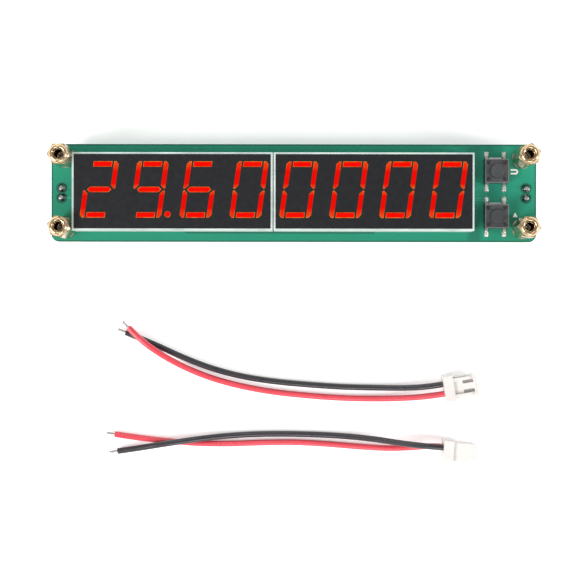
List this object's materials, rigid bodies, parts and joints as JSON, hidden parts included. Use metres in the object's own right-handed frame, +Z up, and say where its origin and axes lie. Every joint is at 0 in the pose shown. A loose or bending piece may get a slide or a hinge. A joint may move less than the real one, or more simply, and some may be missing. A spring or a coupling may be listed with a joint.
{
  "type": "frequency counter",
  "caption": "Open-board LED frequency counter module with hexagon standoffs, two push buttons, rear lead sockets and loose plug-in leads.",
  "frame": {"origin": "on the bench under the middle of the circuit board, in the plane of the two sockets' mouths", "axes": "+X along the board towards the end with the push buttons, +Y across the board away from the loose leads, +Z up out of the display's face"},
  "size_m": [0.124, 0.0817, 0.0206],
  "materials": {
    "solder_mask": "green solder mask over glass epoxy, satin gloss",
    "display_resin": "diffusing resin",
    "display_case": "moulded, white",
    "carrier_board": "bare laminate",
    "face_film": "dark film, slightly glossy",
    "tinned_steel": "tin plated",
    "brass": "turned brass, bright",
    "steel_screw": "nickel plated steel",
    "socket_nylon": "natural nylon",
    "plug_nylon": "natural nylon",
    "black_moulding": "black moulded",
    "switch_plate": "dark stamped steel",
    "button_plastic": "moulded black",
    "dome_steel": "spring steel",
    "solder": "bright solder",
    "chip_epoxy": "moulded epoxy",
    "ceramic": "fired ceramic",
    "nickel_lid": "nickel plated lid",
    "aluminium_can": "drawn can",
    "resistor_film": "glazed",
    "capacitor_ceramic": "fired ceramic",
    "wire_black": "extruded vinyl",
    "wire_red": "extruded vinyl",
    "tinned_copper": "tinned strands"
  },
  "bodies": {
    "counter": {"circuit_board": "solder_mask", "display_segments_left": "display_resin", "display_case_left": "display_case", "display_carrier_left": "carrier_board", "display_film_left": "face_film", "display_pins_left": "tinned_steel", "display_segments_right": "display_resin", "display_case_right": "display_case", "display_carrier_right": "carrier_board", "display_film_right": "face_film", "display_pins_right": "tinned_steel", "standoffs": "brass", "rear_screws": "steel_screw", "signal_socket": "socket_nylon", "signal_socket_pins": "tinned_steel", "power_socket": "socket_nylon", "power_socket_pins": "tinned_steel", "switch_base_upper": "black_moulding", "switch_cover_upper": "switch_plate", "snap_dome_upper": "dome_steel", "switch_leads_upper": "tinned_steel", "switch_base_lower": "black_moulding", "switch_cover_lower": "switch_plate", "snap_dome_lower": "dome_steel", "switch_leads_lower": "tinned_steel", "front_solder": "solder", "rear_solder": "solder", "microcontroller": "chip_epoxy", "microcontroller_leads": "tinned_steel", "display_driver": "chip_epoxy", "display_driver_leads": "tinned_steel", "prescaler": "chip_epoxy", "prescaler_leads": "tinned_steel", "oscillator_base": "ceramic", "oscillator_lid": "nickel_lid", "regulator": "chip_epoxy", "regulator_tab": "tinned_steel", "capacitor_cans": "aluminium_can", "capacitor_bases": "black_moulding", "protection_diode": "chip_epoxy", "protection_diode_ends": "tinned_steel", "input_amplifier": "chip_epoxy", "input_amplifier_leads": "tinned_steel", "chip_resistors": "resistor_film", "chip_capacitors": "capacitor_ceramic", "chip_part_ends": "tinned_steel"},
    "button_upper": {"button_upper": "button_plastic"},
    "button_lower": {"button_lower": "button_plastic"},
    "signal_lead": {"signal_plug": "plug_nylon", "signal_terminals": "tinned_steel", "signal_wire_black": "wire_black", "signal_wire_red": "wire_red", "signal_wire_tips": "tinned_copper"},
    "power_lead": {"power_plug": "plug_nylon", "power_terminals": "tinned_steel", "power_wire_black": "wire_black", "power_wire_red": "wire_red", "power_wire_tips": "tinned_copper"}
  },
  "joints": [
    {"name": "upper_press", "type": "slide", "parent": "counter", "child": "button_upper", "axis": [0, 0, -1], "range_m": [0, 0.00025], "stiffness_N_per_m": 400, "springref_m": -0.0005, "deforming": ["snap_dome_upper"]},
    {"name": "lower_press", "type": "slide", "parent": "counter", "child": "button_lower", "axis": [0, 0, -1], "range_m": [0, 0.00025], "stiffness_N_per_m": 400, "springref_m": -0.0005, "deforming": ["snap_dome_lower"]},
    {"name": "signal_lead_lift", "type": "slide", "parent": "counter", "child": "signal_lead", "axis": [0, 0, 1], "range_m": [0, 0.04]},
    {"name": "power_lead_lift", "type": "slide", "parent": "counter", "child": "power_lead", "axis": [0, 0, 1], "range_m": [0, 0.04]}
  ]
}
